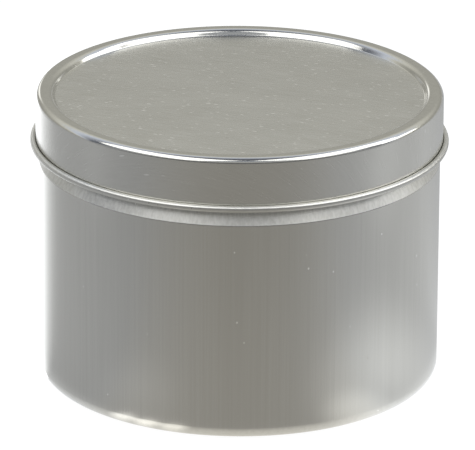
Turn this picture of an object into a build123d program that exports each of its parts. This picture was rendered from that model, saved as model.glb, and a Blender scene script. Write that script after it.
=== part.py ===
from build123d import *
import os
from math import acos, degrees, radians, tan

# Round slip-lid tin for shoe polish: a drawn tinplate can, a pressed lid, and the wax inside.
# Millimetres. +Z is up the tin's axis, and z = 0 is the surface that the tin stands on.

# --- tinplate
sheet = 0.25  # gauge of both pressings
raw_edge_gap = 0.1  # left between a rolled edge and the sheet it rolls back to

# --- can
overall_height = 55.0  # table to the lid's raised rim
wall_diameter = 75.0  # outside of the straight wall
base_corner = 2.3  # outside radius between base and wall
standing_ring_width = 2.5  # flat ring that the tin stands on
base_recess = 0.8  # how far the base panel is raised inside that ring
base_step_run = 1.0  # how far in that rise is spread
crease_below_lid = 3.05  # from the closed lid's lower edge down to where the wall starts to lean in
shoulder_lean = 25.0  # degrees off vertical, from the crease to the neck
neck_inset = 1.0  # neck's outside, in from the wall's outside
rim_overhang = 0.15  # rolled rim's outside, out from the wall's outside

# --- lid
slip_gap = 0.1  # radial, between the rolled rim and the skirt
seat_gap = 0.15  # between the rolled rim's top and the lid's underside
lid_depth = 10.15  # top of the raised rim to the bottom of the skirt's curl
lid_corner = 1.1  # outside radius between raised rim and skirt
land_width = 1.44  # top of the raised rim, out to that corner
rim_slope_drop = 0.2  # the rim first falls gently inward by this
rim_slope_run = 0.5  # over this
panel_recess = 1.06  # edge of the panel below the raised rim
panel_step_run = 0.46  # run of the steep step down to it
panel_crown = 0.4  # rise of the panel from its edge to its middle
skirt_curl_diameter = 1.3  # across the rolled edge

# --- bends of the sheet's middle line
crease_radius = 0.4
neck_radius = 1.0
land_bend = 1.2
step_bend = 0.8
panel_bend = 0.35
crown_radius = 1200.0
base_bend = 0.5

# --- polish
shrink_gap = 0.3  # set wax draws in from the wall by this
fill_below_shoulder = 1.3  # polish surface, down from the crease
cake_edge = 0.6  # rounded rim of the poured surface

half_sheet = sheet / 2
wall_radius = wall_diameter / 2
wall_line = wall_radius - half_sheet
neck_line = wall_line - neck_inset
rim_radius = wall_radius + rim_overhang
rim_top = overall_height - sheet - seat_gap
rim_curl_diameter = rim_overhang + neck_inset + sheet
rim_roll = (rim_curl_diameter - sheet) / 2
standing_ring_outer = wall_radius - base_corner
standing_ring_inner = standing_ring_outer - standing_ring_width
base_panel_radius = standing_ring_inner - base_step_run
shoulder_height = overall_height - lid_depth - crease_below_lid
shoulder_top = shoulder_height + neck_inset / tan(radians(shoulder_lean))

skirt_radius = rim_radius + slip_gap + sheet
skirt_line = skirt_radius - half_sheet
skirt_roll = (skirt_curl_diameter - sheet) / 2
skirt_curl_height = overall_height - lid_depth + skirt_curl_diameter / 2
land_inner = skirt_radius - lid_corner - land_width
step_radius = land_inner - rim_slope_run
panel_radius = step_radius - panel_step_run

past_axis = -sheet  # a pressing's middle line starts here, and the outline is cut off square at the axis


def sheet_metal(middle_line):
    """A round pressing: half the sheet on each side of its middle line, turned about the axis."""
    outline = middle_line.offset_2d(half_sheet)
    half_plane = Rectangle(wall_diameter, 2 * overall_height, align=(Align.MIN, Align.CENTER))
    section = Face(outline) & half_plane
    return revolve(Plane.XZ * section, Axis.Z)


def bent_line(points, radii):
    """Straight runs joined by bends, one radius for each inner point."""
    return Wire(FilletPolyline(*points, radius=radii).edges())


def curl(start, heading, radius, side):
    """A rolled edge that carries on from a straight run, until it nearly meets that run again."""
    turn = 180 + degrees(acos((sheet + raw_edge_gap) / radius - 1))
    return JernArc(start=start, tangent=heading, radius=radius, arc_size=side * turn)


def can_body():
    rim_start = rim_top - half_sheet - rim_roll
    run = bent_line(
        [
            (past_axis, base_recess + half_sheet),
            (base_panel_radius, base_recess + half_sheet),
            (standing_ring_inner, half_sheet),
            (wall_line, half_sheet),
            (wall_line, shoulder_height),
            (neck_line, shoulder_top),
            (neck_line, rim_start),
        ],
        [base_bend, base_bend, base_corner - half_sheet, crease_radius, neck_radius],
    )
    rim = curl((neck_line, rim_start), (0, 1), rim_roll, -1)
    return sheet_metal(Wire(run.edges() + rim.edges()))


def slip_lid():
    land_line = overall_height - half_sheet
    panel_line = land_line - panel_recess
    crown_line = panel_line + panel_crown
    run = bent_line(
        [
            (past_axis, crown_line),
            (panel_radius / 2, crown_line),
            (panel_radius, panel_line),
            (step_radius, land_line - rim_slope_drop),
            (land_inner, land_line),
            (skirt_line, land_line),
            (skirt_line, skirt_curl_height),
        ],
        [crown_radius, panel_bend, step_bend, land_bend, lid_corner - half_sheet],
    )
    edge = curl((skirt_line, skirt_curl_height), (0, -1), skirt_roll, 1)
    return sheet_metal(Wire(run.edges() + edge.edges()))


def polish_cake():
    radius = wall_radius - sheet - shrink_gap
    floor = sheet + shrink_gap
    panel_top = base_recess + sheet
    top = shoulder_height - fill_below_shoulder
    outline = bent_line(
        [
            (0, top),
            (radius, top),
            (radius, floor),
            (standing_ring_inner + shrink_gap, floor),
            (base_panel_radius + shrink_gap, panel_top),
            (0, panel_top),
        ],
        [cake_edge, base_corner - floor, base_bend, base_bend],
    )
    axis_side = Line((0, panel_top), (0, top))
    section = Face(Wire(outline.edges() + axis_side.edges()))
    return revolve(Plane.XZ * section, Axis.Z)


nodes = {
    "can_body": can_body(),
    "slip_lid": slip_lid(),
    "polish_cake": polish_cake(),
}

os.makedirs("parts", exist_ok=True)
for name, shape in nodes.items():
    piece = shape.solid()
    export_step(piece, f"parts/{name}.step")
    box = piece.bounding_box()
    print(f"{name}: {piece.volume:.1f} mm3, {box.size.X:.2f} across, z {box.min.Z:.2f} to {box.max.Z:.2f}")
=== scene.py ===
import math

import bpy
from mathutils import Matrix, Vector


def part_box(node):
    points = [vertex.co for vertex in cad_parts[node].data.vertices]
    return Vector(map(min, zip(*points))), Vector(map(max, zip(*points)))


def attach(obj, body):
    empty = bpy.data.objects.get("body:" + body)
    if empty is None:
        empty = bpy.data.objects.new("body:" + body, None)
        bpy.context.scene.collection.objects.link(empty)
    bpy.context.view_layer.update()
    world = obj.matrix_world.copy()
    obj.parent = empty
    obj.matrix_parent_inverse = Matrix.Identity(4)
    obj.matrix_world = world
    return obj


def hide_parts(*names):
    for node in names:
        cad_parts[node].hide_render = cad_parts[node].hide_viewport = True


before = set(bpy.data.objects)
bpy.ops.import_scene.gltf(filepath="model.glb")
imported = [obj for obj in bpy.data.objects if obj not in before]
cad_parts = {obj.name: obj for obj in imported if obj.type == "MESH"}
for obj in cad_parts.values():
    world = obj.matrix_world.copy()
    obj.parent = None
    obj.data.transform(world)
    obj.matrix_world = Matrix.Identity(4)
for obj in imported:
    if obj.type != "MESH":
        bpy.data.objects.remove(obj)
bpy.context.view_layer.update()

# Round slip-lid tin of shoe polish: drawn tinplate can, pressed lid, black wax inside.
# Every piece is turned about the tin's axis, so each is an outline in radius and height.
# Outlines are in millimetres; makeLathe turns them into metres.

mm = 0.001
segmentsRound = 384  # facets round the tin, 0.6 mm long on the wall


def halfWidth(node):
    low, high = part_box(node)
    return min(high[0] - low[0], high[1] - low[1]) / 2 / mm


def topOf(node):
    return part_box(node)[1][2] / mm


def bottomOf(node):
    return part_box(node)[0][2] / mm


arcStep = math.radians(9)
supportLoop = 0.05  # mm, keeps a flat run flat right up to its bend
runStep = 4.0  # mm between rings along a long run
leastStep = 0.004  # mm, outline points nearer than this are one point
edgeSteps = 6  # steps round the sheet's raw edge


def bentLine(corners, startZone):
    # corners: (radius, height, bend radius, zone of the bend, zone of the run that follows)
    # returns points along the line as (r, z, normal r, normal z, zone)
    points = []
    previous = corners[0]
    zone = startZone
    at = Vector(previous[:2])
    for index in range(1, len(corners)):
        corner = Vector(corners[index][:2])
        heading = (corner - at).normalized()
        isLast = index == len(corners) - 1
        if isLast:
            addRun(points, at, corner, zone)
            break
        following = (Vector(corners[index + 1][:2]) - corner).normalized()
        turn = heading.angle_signed(following)
        bend = corners[index][2]
        reach = bend * math.tan(abs(turn) / 2)
        bendStart = corner - heading * reach
        addRun(points, at, bendStart, zone)
        addArc(points, bendStart, heading, bend, -turn, corners[index][3])
        at = corner + following * reach
        zone = corners[index][4]
    return points


def addRun(points, start, end, zone):
    heading = (end - start).normalized()
    length = (end - start).length
    normal = (-heading.y, heading.x)
    stops = [0, supportLoop, length - supportLoop, length]
    if length < 4 * supportLoop:
        stops = [0, length]
    elif length > 2 * runStep:
        inner = int(length // runStep)
        stops[2:2] = [length * k / inner for k in range(1, inner)]
    for stop in stops:
        place = start + heading * stop
        points.append((place.x, place.y, normal[0], normal[1], zone))


def addArc(points, start, heading, radius, turn, zone):
    # turn is positive anticlockwise, seen with the radius to the right and the height upwards
    side = math.copysign(1, turn)
    centre = start + Vector((-heading.y, heading.x)) * radius * side
    steps = max(3, math.ceil(abs(turn) / arcStep))
    begin = math.atan2(start.y - centre.y, start.x - centre.x)
    for step in range(steps + 1):
        angle = begin + turn * step / steps
        outward = Vector((math.cos(angle), math.sin(angle)))
        place = centre + outward * radius
        normal = outward * -side
        points.append((place.x, place.y, normal.x, normal.y, zone))


def addCurl(points, radius, rawEdgeGap, sheet, side, zone):
    # a rolled edge, carried round until it nearly meets the sheet that it came from
    last = points[-1]
    start = Vector(last[:2])
    heading = Vector((last[3], -last[2]))
    turn = math.pi + math.acos((sheet + rawEdgeGap) / radius - 1)
    addArc(points, start, heading, radius, side * turn, zone)


def sheetOutline(middle, sheet):
    # both faces of the sheet, joined round its raw edge; starts and ends on the axis
    half = sheet / 2
    near = [(r + nr * half, z + nz * half, zone) for r, z, nr, nz, zone in middle]
    far = [(r - nr * half, z - nz * half, zone) for r, z, nr, nz, zone in middle]
    r, z, nr, nz, zone = middle[-1]
    heading = Vector((nz, -nr))
    edge = []
    for step in range(1, edgeSteps):
        angle = math.pi * step / edgeSteps
        across = math.cos(angle) * half
        along = math.sin(angle) * half
        edge.append((r + nr * across + heading.x * along, z + nz * across + heading.y * along, zone))
    return tidyOutline(near + edge + far[::-1])


def tidyOutline(outline):
    kept = [outline[0]]
    for point in outline[1:]:
        if math.dist(point[:2], kept[-1][:2]) > leastStep:
            kept.append(point)
    return kept


def makeLathe(name, outline, zoneMaterials):
    # turns an outline about the axis; its first and last points lie on the axis
    verts = [(0, 0, outline[0][1] * mm)]
    rings = []
    for r, z, _ in outline[1:-1]:
        rings.append(len(verts))
        for step in range(segmentsRound):
            angle = 2 * math.pi * step / segmentsRound
            verts.append((r * math.cos(angle) * mm, r * math.sin(angle) * mm, z * mm))
    last = len(verts)
    verts.append((0, 0, outline[-1][1] * mm))
    materials = []
    for material in zoneMaterials.values():
        if material not in materials:
            materials.append(material)
    faces = []
    slots = []

    def addFace(corners, zone):
        faces.append(corners)
        slots.append(materials.index(zoneMaterials[zone]))

    for step in range(segmentsRound):
        after = (step + 1) % segmentsRound
        addFace((0, rings[0] + step, rings[0] + after), outline[1][2])
        addFace((last, rings[-1] + after, rings[-1] + step), outline[-2][2])
        for index in range(len(rings) - 1):
            low, high = rings[index], rings[index + 1]
            addFace((low + step, high + step, high + after, low + after), outline[index + 2][2])
    mesh = bpy.data.meshes.new(name)
    mesh.from_pydata(verts, [], faces)
    for material in materials:
        mesh.materials.append(material)
    mesh.polygons.foreach_set("material_index", slots)
    mesh.polygons.foreach_set("use_smooth", [True] * len(faces))
    mesh.update()
    piece = bpy.data.objects.new(name, mesh)
    bpy.context.scene.collection.objects.link(piece)
    return piece


def linearColour(hexText):
    channels = [int(hexText[k : k + 2], 16) / 255 for k in (1, 3, 5)]
    return tuple(c / 12.92 if c <= 0.04045 else ((c + 0.055) / 1.055) ** 2.4 for c in channels) + (1,)


def addNode(tree, kind, settings=None, inputs=None):
    # settings go on the node itself; inputs are values, or (node, output) to link from
    node = tree.nodes.new(kind)
    for key, value in (settings or {}).items():
        setattr(node, key, value)
    for key, value in (inputs or {}).items():
        socket = node.inputs[key]
        if isinstance(value, tuple) and isinstance(value[0], bpy.types.Node):
            tree.links.new(value[0].outputs[value[1]], socket)
        else:
            socket.default_value = value
    return node


def newMaterial(name):
    material = bpy.data.materials.new(name)
    material.use_nodes = True
    material.node_tree.nodes.clear()
    return material, material.node_tree


noiseRoughness = 0.6  # how strongly each finer layer of a noise shows
fleckFade = 0.4  # share of a mark's half width over which its edge fades out

tinplate = {
    "darkColour": "#c7c6bf",  # tin is a shade warmer and greyer than silver
    "lightColour": "#d8d7d1",
    "markColour": "#fbfaf6",
    "pitColour": "#4a4843",
    "grainAngle": -19,  # degrees from +X, the way the sheet was rolled
    "grainPitch": 0.3,  # mm; mill lines are some 0.02 mm apart, drawn coarse enough to show
    "grainLength": 6.0,  # mm
    "cloudSize": 9.0,  # mm, patches where the tin flowed a little brighter or duller
    "cloudShare": 0.6,  # how much those patches count beside the grain
    "drawPitch": 0.3,  # mm; the die's lines up a wall are some 0.03 mm apart, drawn coarse enough to show
    "drawLength": 40.0,  # mm
    "streakSize": (4, 4, 60),  # mm, the broad streaks up a drawn wall
    "streakShare": 0.2,  # how much those streaks count beside the lines
    "puckerPitch": 0.55,  # mm between the fine puckers of a wall that is squeezed in
    "lineDepth": 0.02,  # mm that the deepest lines are given
    "rubReach": 0.2,  # half a rub, in cells
    "panelPits": {"cell": (9, 6, 1), "reach": 0.03, "share": 0.3},
    "wallSpecks": {"cell": (2.2, 2.2, 3), "reach": 0.1, "share": 0.8},
    "wallPits": {"cell": (4, 4, 4), "reach": 0.045, "share": 0.7},
}


def stretchedNoise(tree, place, size, detail):
    # cloudy lines: size is the (x, y, z) length of one, in mm
    scale = tuple(1 / (side * mm) for side in size)
    scaled = addNode(tree, "ShaderNodeVectorMath", {"operation": "MULTIPLY"}, {0: place, 1: scale})
    shape = {"Vector": (scaled, "Vector"), "Scale": 1, "Detail": detail, "Roughness": noiseRoughness}
    return addNode(tree, "ShaderNodeTexNoise", {}, shape)


def flecks(tree, place, dimensions, cell, reach, share):
    # scattered marks, one or none to a cell: cell is its (x, y, z) in mm, reach is half a mark, in cells,
    # and a larger share marks more of the cells
    scale = tuple(1 / (side * mm) for side in cell)
    scaled = addNode(tree, "ShaderNodeVectorMath", {"operation": "MULTIPLY"}, {0: place, 1: scale})
    cells = addNode(
        tree,
        "ShaderNodeTexVoronoi",
        {"voronoi_dimensions": dimensions},
        {"Vector": (scaled, "Vector"), "Scale": 1},
    )
    picked = addNode(
        tree, "ShaderNodeMapRange", {}, {"Value": (cells, "Color"), "From Min": 1 - share, "To Max": reach}
    )
    inside = addNode(
        tree, "ShaderNodeMath", {"operation": "SUBTRACT"}, {0: (picked, "Result"), 1: (cells, "Distance")}
    )
    return addNode(
        tree,
        "ShaderNodeMapRange",
        {"interpolation_type": "SMOOTHSTEP"},
        {"Value": (inside, 0), "From Min": 0, "From Max": reach * fleckFade},
    )


def mixColours(tree, factor, first, second):
    # on this node, sockets 6 and 7 are the two colours, and output 2 is the mixed one
    return addNode(
        tree, "ShaderNodeMix", {"data_type": "RGBA", "clamp_factor": True}, {0: factor, 6: first, 7: second}
    )


def tinTone(tree, lines, clouds, cloudShare, contrast):
    # from 0, dark tin, to 1, light tin; both noises average a half
    middle = (1 + cloudShare) / 2
    both = {0: (clouds, "Fac"), 1: cloudShare, 2: (lines, "Fac")}
    tone = addNode(tree, "ShaderNodeMath", {"operation": "MULTIPLY_ADD"}, both)
    spread = {"Value": (tone, 0), "From Min": middle - contrast, "From Max": middle + contrast}
    return addNode(tree, "ShaderNodeMapRange", {}, spread)


def tinColour(tree, tone, marks, pits):
    # tone runs from dark to light tin; marks and pits are the bright and dark specks on it
    dark, light = linearColour(tinplate["darkColour"]), linearColour(tinplate["lightColour"])
    plain = mixColours(tree, tone, dark, light)
    marked = mixColours(tree, marks, (plain, 2), linearColour(tinplate["markColour"]))
    return mixColours(tree, pits, (marked, 2), linearColour(tinplate["pitColour"]))


def tinSurface(tree, colour, relief, tangent, look):
    # bare metal: the relief of its lines sets both how rough it is and how it tilts a reflection
    rough = {"Value": relief, "To Min": look["roughLow"], "To Max": look["roughHigh"]}
    roughness = addNode(tree, "ShaderNodeMapRange", {}, rough)
    raised = {"Height": relief, "Strength": look["bump"], "Distance": tinplate["lineDepth"] * mm}
    bump = addNode(tree, "ShaderNodeBump", {}, raised)
    shader = addNode(
        tree,
        "ShaderNodeBsdfPrincipled",
        {},
        {
            "Base Color": colour,
            "Metallic": 1,
            "Anisotropic": look["spread"],
            "Roughness": (roughness, "Result"),
            "Normal": (bump, "Normal"),
            "Tangent": tangent,
        },
    )
    addNode(tree, "ShaderNodeOutputMaterial", {}, {"Surface": (shader, "BSDF")})


def flatSheetPlace(tree):
    # where each point of the lid lay on the sheet before it was pressed: its skirt unrolls outward
    place = addNode(tree, "ShaderNodeTexCoord")
    split = addNode(tree, "ShaderNodeSeparateXYZ", {}, {0: (place, "Object")})
    drop = addNode(
        tree, "ShaderNodeMath", {"operation": "SUBTRACT"}, {0: topOf("slip_lid") * mm, 1: (split, "Z")}
    )
    stretch = addNode(
        tree,
        "ShaderNodeMath",
        {"operation": "MULTIPLY_ADD"},
        {0: (drop, 0), 1: 1 / (halfWidth("slip_lid") * mm), 2: 1},
    )
    spread = addNode(
        tree, "ShaderNodeVectorMath", {"operation": "SCALE"}, {0: (place, "Object"), "Scale": (stretch, 0)}
    )
    turned = (0, 0, -math.radians(tinplate["grainAngle"]))
    laid = {"Vector": (spread, "Vector"), "Rotation": turned, "Scale": (1, 1, 0)}
    return addNode(tree, "ShaderNodeMapping", {}, laid)


def rolledTinplate(name, look):
    # electrolytic tinplate as it left the mill: straight grain, satin, with short bright rubs along it
    material, tree = newMaterial(name)
    place = (flatSheetPlace(tree), "Vector")
    grain = stretchedNoise(tree, place, (tinplate["grainLength"], tinplate["grainPitch"], 1), 3)
    clouds = stretchedNoise(tree, place, (tinplate["cloudSize"] * 2, tinplate["cloudSize"], 1), 2)
    tone = tinTone(tree, grain, clouds, tinplate["cloudShare"], look["contrast"])
    rubs = flecks(tree, place, "2D", look["rubCell"], tinplate["rubReach"], look["rubShare"])
    strength = {0: (rubs, "Result"), 1: look["rubStrength"]}
    faint = addNode(tree, "ShaderNodeMath", {"operation": "MULTIPLY"}, strength)
    pits = flecks(tree, place, "2D", **tinplate["panelPits"])
    colour = tinColour(tree, (tone, "Result"), (faint, 0), (pits, "Result"))
    if look["tangent"] == "across":
        lean = math.radians(90 + tinplate["grainAngle"])
        across = addNode(tree, "ShaderNodeCombineXYZ", {}, {"X": math.cos(lean), "Y": math.sin(lean)})
        tangent = (across, "Vector")
    else:
        around = addNode(tree, "ShaderNodeTangent", {"direction_type": "RADIAL", "axis": "Z"})
        tangent = (around, "Tangent")
    tinSurface(tree, (colour, 2), (grain, "Fac"), tangent, look)
    return material


def drawnTinplate(name, look):
    # tinplate pulled through a die: hair-fine lines up the wall that spread a reflection sideways
    material, tree = newMaterial(name)
    place = (addNode(tree, "ShaderNodeTexCoord"), "Object")
    lines = stretchedNoise(tree, place, (look["pitch"], look["pitch"], look["length"]), 2)
    streaks = stretchedNoise(tree, place, tinplate["streakSize"], 1)
    tone = tinTone(tree, lines, streaks, tinplate["streakShare"], look["contrast"])
    specks = flecks(tree, place, "3D", **tinplate["wallSpecks"])
    pits = flecks(tree, place, "3D", **tinplate["wallPits"])
    colour = tinColour(tree, (tone, "Result"), (specks, "Result"), (pits, "Result"))
    around = addNode(tree, "ShaderNodeTangent", {"direction_type": "RADIAL", "axis": "Z"})
    tinSurface(tree, (colour, 2), (lines, "Fac"), (around, "Tangent"), look)
    return material


wax = {
    "colour": "#131315",
    "bloomColour": "#2b2a2c",
    "bloomSize": (11, 8, 11),  # mm, patches of dull bloom
    "ringPitch": 7.0,  # mm between the faint rings that a cooling pour leaves
    "ringWander": 1.2,  # how far those rings stray from round
    "ringHeight": 1.5,  # beside the peel's height
    "peelSize": 1.1,  # mm, the soft orange peel of set wax
    "peelDepth": 0.06,  # mm
    "pinholes": {"cell": (4, 4, 4), "reach": 0.07, "share": 0.6},
    "glossRoughness": 0.24,
    "bloomRoughness": 0.46,
}


def blackWax():
    # carnauba and mineral wax, melted, poured and set: near black, soft gloss, faint rings, dull bloom
    material, tree = newMaterial("blackWax")
    place = (addNode(tree, "ShaderNodeTexCoord"), "Object")
    peel = stretchedNoise(tree, place, (wax["peelSize"],) * 3, 3)
    bloom = stretchedNoise(tree, place, wax["bloomSize"], 4)
    scaled = addNode(
        tree, "ShaderNodeVectorMath", {"operation": "SCALE"}, {0: place, "Scale": 1 / (wax["ringPitch"] * mm)}
    )
    rings = addNode(
        tree,
        "ShaderNodeTexWave",
        {"wave_type": "RINGS", "rings_direction": "Z"},
        {
            "Vector": (scaled, "Vector"),
            "Scale": 1 / (2 * math.pi),
            "Distortion": wax["ringWander"],
            "Detail": 2,
            "Detail Scale": 0.6,
        },
    )
    pinholes = flecks(tree, place, "3D", **wax["pinholes"])
    cloudy = addNode(
        tree, "ShaderNodeMapRange", {}, {"Value": (bloom, "Fac"), "From Min": 0.42, "From Max": 0.7}
    )
    clean, dull = linearColour(wax["colour"]), linearColour(wax["bloomColour"])
    colour = mixColours(tree, (cloudy, "Result"), clean, dull)
    roughness = addNode(
        tree,
        "ShaderNodeMapRange",
        {},
        {
            "Value": (bloom, "Fac"),
            "From Min": 0.35,
            "From Max": 0.7,
            "To Min": wax["glossRoughness"],
            "To Max": wax["bloomRoughness"],
        },
    )
    raised = {0: (rings, "Fac"), 1: wax["ringHeight"], 2: (peel, "Fac")}
    waves = addNode(tree, "ShaderNodeMath", {"operation": "MULTIPLY_ADD"}, raised)
    pricked = {0: (waves, 0), 1: (pinholes, "Result")}
    height = addNode(tree, "ShaderNodeMath", {"operation": "SUBTRACT"}, pricked)
    relief = {"Height": (height, 0), "Strength": 0.6, "Distance": wax["peelDepth"] * mm}
    bump = addNode(tree, "ShaderNodeBump", {}, relief)
    shader = addNode(
        tree,
        "ShaderNodeBsdfPrincipled",
        {},
        {
            "Base Color": (colour, 2),
            "Roughness": (roughness, "Result"),
            "IOR": 1.45,
            "Normal": (bump, "Normal"),
        },
    )
    addNode(tree, "ShaderNodeOutputMaterial", {}, {"Surface": (shader, "BSDF")})
    return material


panelLook = {
    "roughLow": 0.2, "roughHigh": 0.34, "bump": 0.3, "spread": 0.5, "tangent": "across",
    "contrast": 0.3, "rubCell": (3.4, 0.95, 1), "rubShare": 0.7, "rubStrength": 1.0,
}
skirtLook = {
    "roughLow": 0.22, "roughHigh": 0.3, "bump": 0.12, "spread": 0.1, "tangent": "around",
    "contrast": 0.6, "rubCell": (5, 1.2, 1), "rubShare": 0.3, "rubStrength": 0.45,
}
wallLook = {
    "pitch": tinplate["drawPitch"], "length": tinplate["drawLength"],
    "roughLow": 0.18, "roughHigh": 0.26, "bump": 0.12, "spread": 0.5, "contrast": 0.7,
}
shoulderLook = {
    "pitch": tinplate["puckerPitch"], "length": tinplate["drawLength"],
    "roughLow": 0.34, "roughHigh": 0.5, "bump": 1.0, "spread": 0.3, "contrast": 0.16,
}
curlLook = {
    "pitch": 0.8, "length": 0.8,
    "roughLow": 0.24, "roughHigh": 0.36, "bump": 0.2, "spread": 0.85, "contrast": 0.5,
}
burnishedLook = {
    "pitch": 0.7, "length": 0.7,
    "roughLow": 0.08, "roughHigh": 0.18, "bump": 0.12, "spread": 0.0, "contrast": 0.6,
}
rolled = rolledTinplate("rolledTinplate", panelLook)
pressed = rolledTinplate("pressedTinplate", skirtLook)
drawn = drawnTinplate("drawnTinplate", wallLook)
puckered = drawnTinplate("puckeredTinplate", shoulderLook)
curled = drawnTinplate("curledTinplate", curlLook)
burnished = drawnTinplate("burnishedTinplate", burnishedLook)
waxFinish = blackWax()
print("materials made")

can = {  # mm
    "sheet": 0.25,
    "rawEdgeGap": 0.1,
    "rimOverhang": 0.15,
    "neckInset": 1.0,
    "shoulderLean": 25.0,  # degrees off vertical
    "creaseBelowLid": 3.05,
    "baseCorner": 2.3,
    "standingRing": 2.5,
    "baseRecess": 0.8,
    "baseStepRun": 1.0,
    "baseBend": 0.5,
    "creaseBend": 0.4,
    "neckBend": 1.0,
}


def makeCan():
    half = can["sheet"] / 2
    rimRadius = halfWidth("can_body")
    wall = rimRadius - can["rimOverhang"] - half
    neck = wall - can["neckInset"]
    roll = (can["rimOverhang"] + can["neckInset"]) / 2
    crease = bottomOf("slip_lid") - can["creaseBelowLid"]
    neckStart = crease + can["neckInset"] / math.tan(math.radians(can["shoulderLean"]))
    ringInner = wall + half - can["baseCorner"] - can["standingRing"]
    middle = bentLine(
        [
            (0, can["baseRecess"] + half),
            (ringInner - can["baseStepRun"], can["baseRecess"] + half, can["baseBend"], "bend", "bend"),
            (ringInner, half, can["baseBend"], "bend", "base"),
            (wall, half, can["baseCorner"] - half, "corner", "wall"),
            (wall, crease, can["creaseBend"], "wall", "shoulder"),
            (neck, neckStart, can["neckBend"], "shoulder", "shoulder"),
            (neck, topOf("can_body") - half - roll),
        ],
        "base",
    )
    addCurl(middle, roll, can["rawEdgeGap"], can["sheet"], -1, "rim")
    zones = {
        "base": rolled,
        "bend": burnished,
        "corner": burnished,
        "wall": drawn,
        "shoulder": puckered,
        "rim": burnished,
    }
    piece = makeLathe("canShell", sheetOutline(middle, can["sheet"]), zones)
    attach(piece, "can")
    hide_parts("can_body")


makeCan()
print("can made")

lid = {  # mm
    "sheet": 0.25,
    "rawEdgeGap": 0.1,
    "curlAcross": 1.3,
    "corner": 1.1,
    "landWidth": 1.44,
    "rimSlopeDrop": 0.2,
    "rimSlopeRun": 0.5,
    "panelRecess": 1.06,
    "panelStepRun": 0.46,
    "landBend": 1.2,
    "stepBend": 0.8,
    "panelBend": 0.35,
    "panelCrown": 0.4,
}


def crowned(middle, reach, rise):
    # the panel rises a little towards its middle
    risen = []
    for r, z, nr, nz, zone in middle:
        if r < reach:
            lean = 2 * rise * r / reach**2
            z += rise * (1 - (r / reach) ** 2)
            nr, nz = Vector((nr - lean * nz, nz + lean * nr)).normalized() if zone == "panel" else (nr, nz)
        risen.append((r, z, nr, nz, zone))
    return risen


def makeLid():
    half = lid["sheet"] / 2
    roll = (lid["curlAcross"] - lid["sheet"]) / 2
    skirt = halfWidth("slip_lid") - lid["curlAcross"] + half
    top = topOf("slip_lid") - half
    landInner = skirt + half - lid["corner"] - lid["landWidth"]
    panelRadius = landInner - lid["rimSlopeRun"] - lid["panelStepRun"]
    panelHeight = top - lid["panelRecess"]
    curlHeight = bottomOf("slip_lid") + lid["curlAcross"] / 2
    middle = bentLine(
        [
            (0, panelHeight),
            (panelRadius, panelHeight, lid["panelBend"], "step", "step"),
            (landInner - lid["rimSlopeRun"], top - lid["rimSlopeDrop"], lid["stepBend"], "step", "land"),
            (landInner, top, lid["landBend"], "land", "land"),
            (skirt, top, lid["corner"] - half, "corner", "skirt"),
            (skirt, curlHeight),
        ],
        "panel",
    )
    addCurl(middle, roll, lid["rawEdgeGap"], lid["sheet"], 1, "curl")
    middle = crowned(middle, panelRadius, lid["panelCrown"])
    zones = {
        "panel": rolled,
        "step": burnished,
        "land": burnished,
        "corner": burnished,
        "skirt": pressed,
        "curl": curled,
    }
    piece = makeLathe("lidShell", sheetOutline(middle, lid["sheet"]), zones)
    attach(piece, "lid")
    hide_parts("slip_lid")


makeLid()
print("lid made")

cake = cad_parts["polish_cake"]
cake.data.materials.clear()
cake.data.materials.append(waxFinish)
print("wax made")

studio = {
    "floorWidth": 6.0,  # m
    "floorGrey": 0.15,  # the camera sees the floor as this grey, which takes the tin's shadow,
    "floorGlow": 0.93,  # with this much light of its own, so that it looks plain and pale
    "softboxRadiance": 1.9,
    "softboxAim": 0.03,  # m, the height that every softbox faces
    "coolLight": "#f8fafe",
    "warmLight": "#fdfaf4",
    "lookDown": 20.55,  # degrees
    "roll": 0.35,  # degrees
    "aim": (-0.00026, 0, 0.0281),  # m
    "cameraDistance": 1.139,  # m from the aim point
    "lens": 460.3,  # mm
    "sensor": 36,  # mm
}

# The metal shows its surroundings, so the floor sends it a light of its own, fixed round the tin and
# unlike the plain floor that the camera sees.
# Light off the floor by compass angle round the tin: 0 at the back, 180 at the front.
floorLight = [
    (-180, 0.34), (-154, 0.38), (-128, 0.42), (-102, 0.47), (-60, 0.55), (-30, 0.7), (0, 0.65),
    (30, 0.55), (46, 0.62), (62, 0.72), (75, 0.66), (102, 0.58), (128, 0.49), (154, 0.37), (180, 0.34),
]
# pools of light on the floor: x, y and reach in mm, the share of it that is even, added light
floorPools = [
    (0, 0, 44, 0.8, 0.5),
    (0, 0, 170, 0.3, 0.05),
    (-24, -32, 4.5, 0.2, 0.9),
    (-19, -35, 4.5, 0.2, 0.9),
    (-13.5, -37.5, 4.5, 0.2, 0.7),
    (-36, -44, 24, 0, 0.08),
    (175, -30, 62, 0, 0.22),
    (-172, -30, 52, 0, 0.12),
    (30, -33, 14, 0.1, 0.35),
    (54, -26, 46, 0.0, 0.36),
]
# added light on the floor behind the tin on the left, by compass angle round the wedge's own corner
wedgeCorner = (-36.4, -9.0)  # mm
wedgeLight = [(-54, 0), (-40, 0.35), (-33, 0.8), (-27, 1.3), (0, 1.25), (11, 0)]
wedgeScale = 2  # a ramp's colours are kept within 1, so this one is divided and then multiplied by 2

# light of the room over an arc from the front horizon (0) over the top to the back horizon (180)
roomLight = [
    (0, 0.13, "#ffffff"),
    (12, 0.17, "#f4f6ff"),
    (28, 0.56, "#ffffff"),
    (44, 0.46, "#e8f0ff"),
    (60, 0.2, "#e0e8ff"),
    (76, 0.14, "#e0e8ff"),
    (92, 0.26, "#e0e8ff"),
    (106, 0.5, "#e8eeff"),
    (124, 1.0, "#e4ecff"),
    (142, 0.78, "#fffef6"),
    (160, 0.48, "#fffef6"),
    (172, 0.4, "#fffef6"),
    (180, 0.7, "#ffffff"),
]
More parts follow.
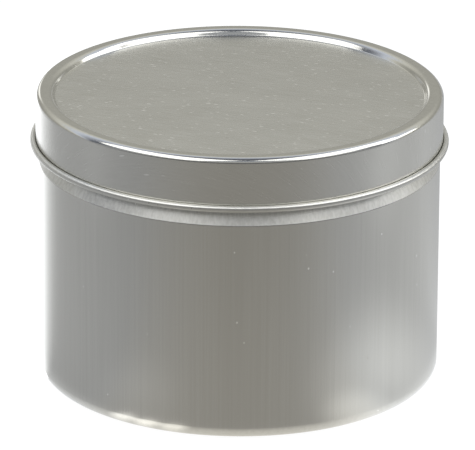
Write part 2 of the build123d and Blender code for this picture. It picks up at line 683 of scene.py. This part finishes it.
# a soft round glow in the room, low at the back; inner and outer are how far round it reaches, in radians
roomGlow = {"toward": (-0.24, 0.93, 0.24), "inner": 0.04, "outer": 0.15, "light": 1.1}

# softboxes: name, degrees round from the camera (to the right is positive), degrees up, width, height in m
softboxes = [
    ("leftSoftbox", -56, 51, 1.05, 0.8),
    ("rightSoftbox", 70, 50, 1.2, 0.8),
    ("rightRearSoftbox", 101, 22, 0.52, 0.26),
]


def compassLight(tree, place, stops):
    # grey levels by compass angle round the origin of place, and the node that holds the angle
    split = addNode(tree, "ShaderNodeSeparateXYZ", {}, {0: place})
    compass = addNode(tree, "ShaderNodeMath", {"operation": "ARCTAN2"}, {0: (split, "X"), 1: (split, "Y")})
    turn = {"Value": (compass, 0), "From Min": -math.pi, "From Max": math.pi}
    share = addNode(tree, "ShaderNodeMapRange", {}, turn)
    level = addNode(tree, "ShaderNodeValToRGB", {}, {"Fac": (share, "Result")})
    setStops(level, [((angle + 180) / 360, (light, light, light, 1)) for angle, light in stops])
    return level, compass


def makeFloor():
    half = studio["floorWidth"] / 2
    corners = [(-half, -half, 0), (half, -half, 0), (half, half, 0), (-half, half, 0)]
    mesh = bpy.data.meshes.new("floor")
    mesh.from_pydata(corners, [], [(0, 1, 2, 3)])
    floor = bpy.data.objects.new("floor", mesh)
    bpy.context.scene.collection.objects.link(floor)
    material, tree = newMaterial("paleFloor")
    path = addNode(tree, "ShaderNodeLightPath")
    place = (addNode(tree, "ShaderNodeTexCoord"), "Object")
    level, compass = compassLight(tree, place, floorLight)
    total = (level, "Color")
    for x, y, reach, softness, light in floorPools:
        away = addNode(
            tree, "ShaderNodeVectorMath", {"operation": "DISTANCE"}, {0: place, 1: (x * mm, y * mm, 0)}
        )
        pool = addNode(
            tree,
            "ShaderNodeMapRange",
            {"interpolation_type": "SMOOTHSTEP"},
            {
                "Value": (away, "Value"),
                "From Min": reach * softness * mm,
                "From Max": reach * mm,
                "To Min": light,
                "To Max": 0,
            },
        )
        both = addNode(tree, "ShaderNodeMath", {"operation": "ADD"}, {0: total, 1: (pool, "Result")})
        total = (both, 0)
    shift = (-wedgeCorner[0] * mm, -wedgeCorner[1] * mm, 0)
    shifted = addNode(tree, "ShaderNodeVectorMath", {"operation": "ADD"}, {0: place, 1: shift})
    halved = [(angle, light / wedgeScale) for angle, light in wedgeLight]
    wedge, _ = compassLight(tree, (shifted, "Vector"), halved)
    added = {0: (wedge, "Color"), 1: wedgeScale, 2: total}
    strength = addNode(tree, "ShaderNodeMath", {"operation": "MULTIPLY_ADD"}, added)
    # painted light: the floor's own glow is tinted a little warmer in front of the tin and left cool at the
    # sides
    ahead = addNode(tree, "ShaderNodeMath", {"operation": "COSINE"}, {0: (compass, 0)})
    warmth = addNode(tree, "ShaderNodeMapRange", {}, {"Value": (ahead, 0), "From Min": -0.6, "From Max": -1})
    tint = mixColours(
        tree, (warmth, "Result"), linearColour(studio["coolLight"]), linearColour(studio["warmLight"])
    )
    lit = addNode(tree, "ShaderNodeEmission", {}, {"Color": (tint, 2), "Strength": (strength, 0)})
    grey = studio["floorGrey"]
    shade = addNode(tree, "ShaderNodeBsdfDiffuse", {}, {"Color": (grey, grey, grey, 1)})
    glow = addNode(tree, "ShaderNodeEmission", {}, {"Color": (1, 1, 1, 1), "Strength": studio["floorGlow"]})
    seen = addNode(tree, "ShaderNodeAddShader", {}, {0: (shade, "BSDF"), 1: (glow, "Emission")})
    surfaces = {0: (path, "Is Camera Ray"), 1: (lit, "Emission"), 2: (seen, "Shader")}
    both = addNode(tree, "ShaderNodeMixShader", {}, surfaces)
    addNode(tree, "ShaderNodeOutputMaterial", {}, {"Surface": (both, "Shader")})
    mesh.materials.append(material)


def setStops(rampNode, stops):
    elements = rampNode.color_ramp.elements
    while len(elements) < len(stops):
        elements.new(1)
    for element, (position, colour) in zip(elements, stops):
        element.position = position
        element.color = colour


def addSoftbox(name, azimuth, elevation, width, height):
    # it faces the tin from a metre away
    turn, rise = math.radians(azimuth), math.radians(elevation)
    toward = Vector((math.sin(turn) * math.cos(rise), -math.cos(turn) * math.cos(rise), math.sin(rise)))
    data = bpy.data.lights.new(name, "AREA")
    data.shape = "RECTANGLE"
    data.size = width
    data.size_y = height
    # W for that radiance off one face
    data.energy = studio["softboxRadiance"] * math.pi * width * height
    lamp = bpy.data.objects.new(name, data)
    lamp.location = toward + Vector((0, 0, studio["softboxAim"]))
    lamp.rotation_euler = (-toward).to_track_quat("-Z", "Y").to_euler()
    lamp.visible_camera = False
    bpy.context.scene.collection.objects.link(lamp)


def makeWorld():
    world = bpy.data.worlds.new("studio")
    bpy.context.scene.world = world
    world.use_nodes = True
    tree = world.node_tree
    tree.nodes.clear()
    path = addNode(tree, "ShaderNodeLightPath")
    place = addNode(tree, "ShaderNodeTexCoord")
    split = addNode(tree, "ShaderNodeSeparateXYZ", {}, {0: (place, "Generated")})
    front = addNode(tree, "ShaderNodeMath", {"operation": "MULTIPLY"}, {0: (split, "Y"), 1: -1})
    arc = addNode(tree, "ShaderNodeMath", {"operation": "ARCTAN2"}, {0: (split, "Z"), 1: (front, 0)})
    share = addNode(tree, "ShaderNodeMapRange", {}, {"Value": (arc, 0), "From Min": 0, "From Max": math.pi})
    level = addNode(tree, "ShaderNodeValToRGB", {}, {"Fac": (share, "Result")})
    stops = []
    for angle, light, tint in roomLight:
        colour = linearColour(tint)
        stops.append((angle / 180, (light * colour[0], light * colour[1], light * colour[2], 1)))
    setStops(level, stops)
    away = addNode(
        tree,
        "ShaderNodeVectorMath",
        {"operation": "DISTANCE"},
        {0: (place, "Generated"), 1: roomGlow["toward"]},
    )
    glow = addNode(
        tree,
        "ShaderNodeMapRange",
        {"interpolation_type": "SMOOTHSTEP"},
        {
            "Value": (away, "Value"),
            "From Min": roomGlow["inner"],
            "From Max": roomGlow["outer"],
            "To Min": roomGlow["light"],
            "To Max": 0,
        },
    )
    added = {0: 1, 6: (level, "Color"), 7: (glow, "Result")}
    lit = addNode(tree, "ShaderNodeMix", {"data_type": "RGBA", "blend_type": "ADD"}, added)
    room = addNode(tree, "ShaderNodeBackground", {}, {"Color": (lit, 2)})
    plain = addNode(tree, "ShaderNodeBackground", {}, {"Color": (1, 1, 1, 1), "Strength": 1})
    skies = {0: (path, "Is Camera Ray"), 1: (room, "Background"), 2: (plain, "Background")}
    both = addNode(tree, "ShaderNodeMixShader", {}, skies)
    addNode(tree, "ShaderNodeOutputWorld", {}, {"Surface": (both, "Shader")})


def makeCamera():
    aim = Vector(studio["aim"])
    tilt = math.radians(studio["lookDown"])
    data = bpy.data.cameras.new("camera")
    data.sensor_width = studio["sensor"]
    data.lens = studio["lens"]
    camera = bpy.data.objects.new("camera", data)
    camera.location = aim + Vector((0, -math.cos(tilt), math.sin(tilt))) * studio["cameraDistance"]
    turn = Matrix.Rotation(math.pi / 2 - tilt, 4, "X") @ Matrix.Rotation(math.radians(studio["roll"]), 4, "Z")
    camera.rotation_euler = turn.to_euler()
    bpy.context.scene.collection.objects.link(camera)
    bpy.context.scene.camera = camera


makeFloor()
for softbox in softboxes:
    addSoftbox(*softbox)
makeWorld()
makeCamera()
bpy.context.scene.view_settings.view_transform = "Standard"
print("studio made")
